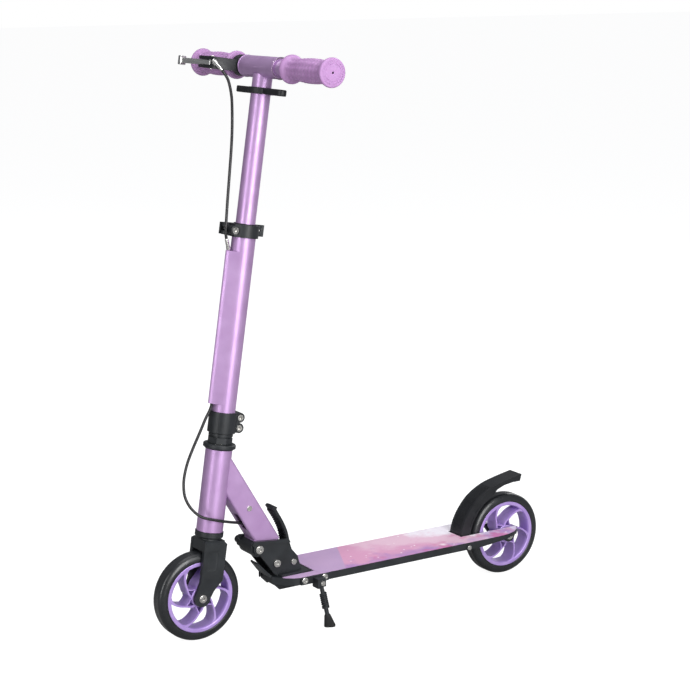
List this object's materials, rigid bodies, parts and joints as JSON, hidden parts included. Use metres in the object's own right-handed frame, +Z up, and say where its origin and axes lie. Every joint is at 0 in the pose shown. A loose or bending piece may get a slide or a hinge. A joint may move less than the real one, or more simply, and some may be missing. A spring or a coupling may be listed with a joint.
{
  "type": "kick scooter",
  "caption": "Folding kick scooter with solid wheels, a telescopic steering column, a hand brake, a press-down fender brake, a long flat deck and a side stand.",
  "frame": {"origin": "on the ground, midway between the two axles, in the middle of the width", "axes": "+X forward, +Y to the rider's left, +Z up along the column's height"},
  "size_m": [0.757, 0.406, 0.9304],
  "materials": {
    "tube_paint": "satin lavender paint",
    "hub_paint": "satin violet paint",
    "black_metal": "satin black paint",
    "black_plastic": "matt black",
    "steel": "bright plated steel",
    "lever_metal": "bright, brushed",
    "grip_rubber": "soft lavender rubber",
    "black_rubber": "matt black rubber",
    "tyre": "smooth black polyurethane",
    "cable_housing": "satin black sleeve",
    "deck_print": "printed film in cloudy purple, pink and white"
  },
  "bodies": {
    "deck": {"deck_plate": "black_metal", "grip_sheet": "deck_print", "hinge_bracket": "black_metal", "hinge_bolts": "steel", "fold_pivot_bolt": "steel", "fold_knob": "black_plastic", "kickstand_bracket": "black_metal", "kickstand_bolts": "steel", "kickstand_pin": "steel", "fender_pin": "steel", "fender_spring": "steel", "rear_axle": "steel", "rear_spacers": "steel", "deck_cable": "cable_housing", "hinge_cable": "cable_housing", "cable_clips": "black_plastic"},
    "neck": {"head_tube": "tube_paint", "down_tube": "tube_paint", "headset_cups": "black_metal", "headset_bearings": "steel", "down_tube_button": "steel", "lower_cable": "cable_housing"},
    "steerer": {"fork": "black_metal", "steerer_tube": "steel", "front_axle": "steel", "front_spacers": "steel", "headset_locknut": "black_metal", "stem_clamp": "black_metal", "stem_clamp_bolts": "steel", "stem_shim": "black_plastic", "lower_stem_tube": "tube_paint", "cable_guard": "tube_paint", "qr_collar": "black_metal", "qr_bolt": "steel", "tube_bush": "black_plastic", "steering_cable": "cable_housing"},
    "handlebar": {"height_tube": "tube_paint", "handlebar_tee": "tube_paint", "handlebar_bars": "tube_paint", "left_grip": "grip_rubber", "right_grip": "grip_rubber", "grip_clip": "black_plastic", "brake_clamp": "black_plastic", "cable_adjuster": "lever_metal", "brake_lever_pin": "steel", "upper_cable": "cable_housing"},
    "brake_lever": {"brake_lever": "lever_metal"},
    "qr_lever": {"qr_lever": "black_metal"},
    "front_wheel": {"front_tyre": "tyre", "front_hub": "hub_paint", "front_bearings": "steel"},
    "rear_wheel": {"rear_tyre": "tyre", "rear_hub": "hub_paint", "rear_bearings": "steel"},
    "fender": {"fender": "black_plastic", "brake_pad": "black_rubber"},
    "release_lever": {"release_lever": "black_plastic"},
    "kickstand": {"kickstand_leg": "black_metal", "kickstand_foot": "black_rubber", "kickstand_spring": "black_metal"}
  },
  "joints": [
    {"name": "fold", "type": "hinge", "parent": "deck", "child": "neck", "pos_m": [0.202, 0, 0.1365], "axis": [0, -1, 0], "range_deg": [0, 80], "deforming": ["hinge_cable"]},
    {"name": "release", "type": "hinge", "parent": "deck", "child": "release_lever", "pos_m": [0.138, 0, 0.105], "axis": [0, -1, 0], "range_deg": [0, 60]},
    {"name": "steer", "type": "hinge", "parent": "neck", "child": "steerer", "pos_m": [0.29602, 0, 0.07096], "axis": [-0.153, 0, 0.9882], "range_deg": [-60, 60], "deforming": ["lower_cable"]},
    {"name": "height", "type": "slide", "parent": "steerer", "child": "handlebar", "axis": [-0.153, 0, 0.9882], "range_m": [-0.15, 0], "deforming": ["upper_cable"]},
    {"name": "brake", "type": "hinge", "parent": "handlebar", "child": "brake_lever", "pos_m": [0.21289, -0.084, 0.91517], "axis": [-0.153, 0, 0.9882], "range_deg": [0, 18], "stiffness_Nm_per_rad": 0.6, "springref_deg": -5.73},
    {"name": "qr", "type": "hinge", "parent": "steerer", "child": "qr_lever", "pos_m": [0.22989, -0.017, 0.65825], "axis": [-0.153, 0, 0.9882], "range_deg": [0, 95]},
    {"name": "front_spin", "type": "hinge", "parent": "steerer", "child": "front_wheel", "pos_m": [0.306, 0, 0.0725], "axis": [0, 1, 0], "continuous": true},
    {"name": "rear_spin", "type": "hinge", "parent": "deck", "child": "rear_wheel", "pos_m": [-0.306, 0, 0.0725], "axis": [0, 1, 0], "continuous": true},
    {"name": "fender_press", "type": "hinge", "parent": "deck", "child": "fender", "pos_m": [-0.1976, 0, 0.0765], "axis": [0, -1, 0], "range_deg": [0, 3], "stiffness_Nm_per_rad": 3, "springref_deg": -8.59},
    {"name": "stand", "type": "hinge", "parent": "deck", "child": "kickstand", "pos_m": [0.11, 0.0625, 0.075], "axis": [0, 1, 0], "range_deg": [0, 90]}
  ],
  "couplings": [
    {"joint": "release", "follows": "fold", "ratio": 0.75},
    {"joint": "brake", "follows": "fender_press", "ratio": 6}
  ]
}
